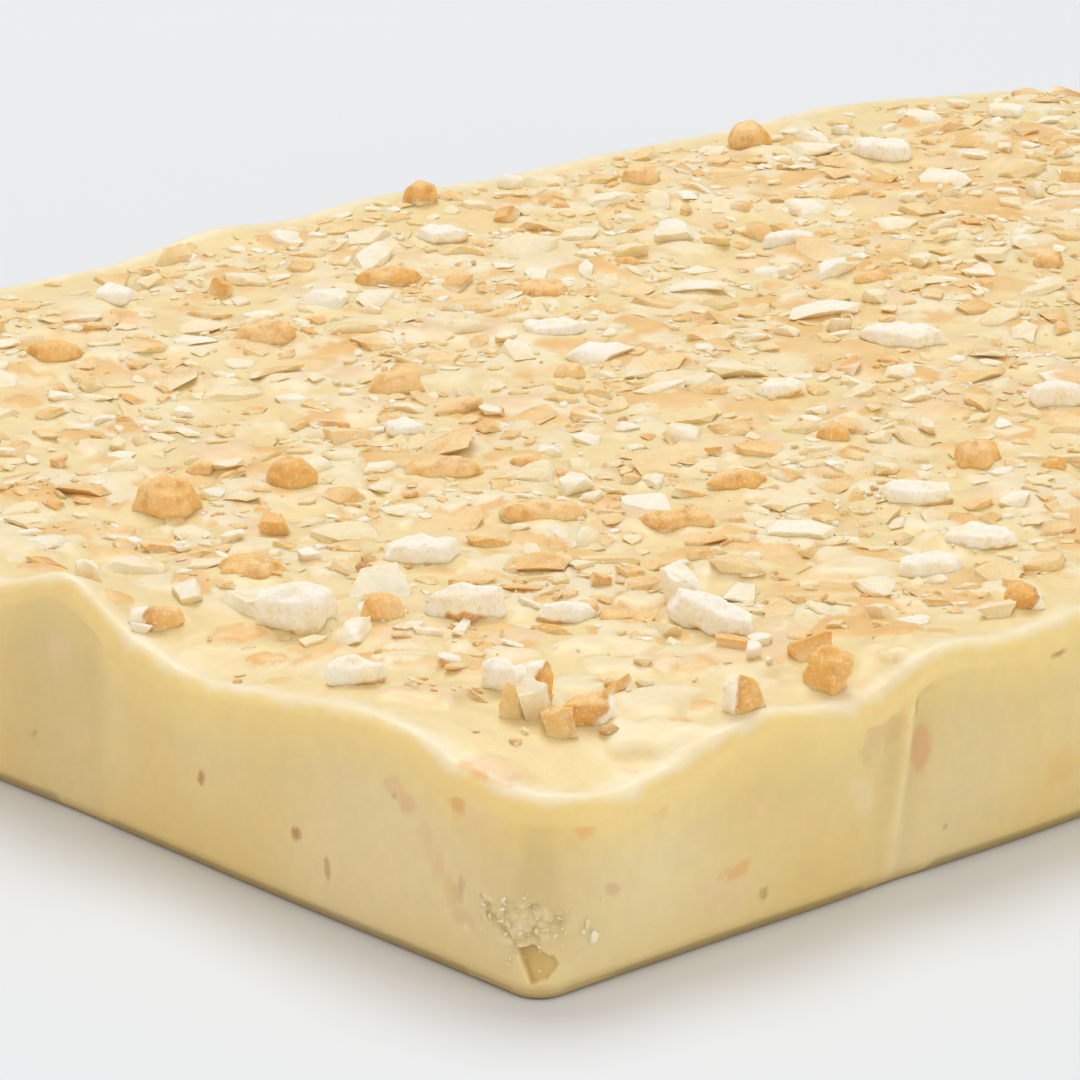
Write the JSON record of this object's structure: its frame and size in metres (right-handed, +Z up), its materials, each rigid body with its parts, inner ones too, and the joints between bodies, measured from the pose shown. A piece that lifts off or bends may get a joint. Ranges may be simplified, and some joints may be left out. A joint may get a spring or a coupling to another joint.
{
  "type": "fudge slab",
  "caption": "Rectangular slab of pale yellow fudge with rounded corners, a wavy rim and broken vanilla biscuit set in its top.",
  "frame": {"origin": "middle of the flat base, which rests on the surface", "axes": "+X along the slab's length, +Y across its width, +Z up through the biscuit topping"},
  "size_m": [0.3316, 0.2304, 0.0321],
  "materials": {
    "fudge": "smooth, faintly waxy pale yellow fudge with a soft sheen",
    "biscuit_crumb": "dry, porous cream-white crumb of a broken vanilla biscuit",
    "baked_biscuit": "golden to light brown baked biscuit face, matt with fine grain"
  },
  "bodies": {
    "root": {"baked_piece_01": "baked_biscuit", "baked_piece_02": "baked_biscuit", "baked_piece_03": "baked_biscuit", "baked_piece_04": "baked_biscuit", "baked_piece_05": "baked_biscuit", "baked_piece_06": "baked_biscuit", "baked_piece_07": "baked_biscuit", "baked_piece_08": "baked_biscuit", "baked_piece_09": "baked_biscuit", "baked_piece_10": "baked_biscuit", "baked_piece_11": "baked_biscuit", "baked_piece_12": "baked_biscuit", "baked_piece_13": "baked_biscuit", "baked_piece_14": "baked_biscuit", "baked_piece_15": "baked_biscuit", "baked_piece_16": "baked_biscuit", "baked_piece_17": "baked_biscuit", "baked_piece_18": "baked_biscuit", "baked_piece_19": "baked_biscuit", "baked_piece_20": "baked_biscuit", "baked_piece_21": "baked_biscuit", "baked_piece_22": "baked_biscuit", "baked_piece_23": "baked_biscuit", "baked_piece_24": "baked_biscuit", "baked_piece_25": "baked_biscuit", "baked_piece_26": "baked_biscuit", "baked_piece_27": "baked_biscuit", "baked_piece_28": "baked_biscuit", "baked_piece_29": "baked_biscuit", "baked_piece_30": "baked_biscuit", "edge_piece_01": "biscuit_crumb", "edge_piece_02": "biscuit_crumb", "edge_piece_03": "biscuit_crumb", "edge_piece_04": "biscuit_crumb", "edge_piece_05": "biscuit_crumb", "fudge_slab": "fudge", "pale_piece_01": "biscuit_crumb", "pale_piece_02": "biscuit_crumb", "pale_piece_03": "biscuit_crumb", "pale_piece_04": "biscuit_crumb", "pale_piece_05": "biscuit_crumb", "pale_piece_06": "biscuit_crumb", "pale_piece_07": "biscuit_crumb", "pale_piece_08": "biscuit_crumb", "pale_piece_09": "biscuit_crumb", "pale_piece_10": "biscuit_crumb", "pale_piece_11": "biscuit_crumb", "pale_piece_12": "biscuit_crumb", "pale_piece_13": "biscuit_crumb", "pale_piece_14": "biscuit_crumb", "pale_piece_15": "biscuit_crumb", "pale_piece_16": "biscuit_crumb", "pale_piece_17": "biscuit_crumb", "pale_piece_18": "biscuit_crumb", "pale_piece_19": "biscuit_crumb", "pale_piece_20": "biscuit_crumb", "pale_piece_21": "biscuit_crumb", "pale_piece_22": "biscuit_crumb", "pale_piece_23": "biscuit_crumb"}
  },
  "joints": []
}
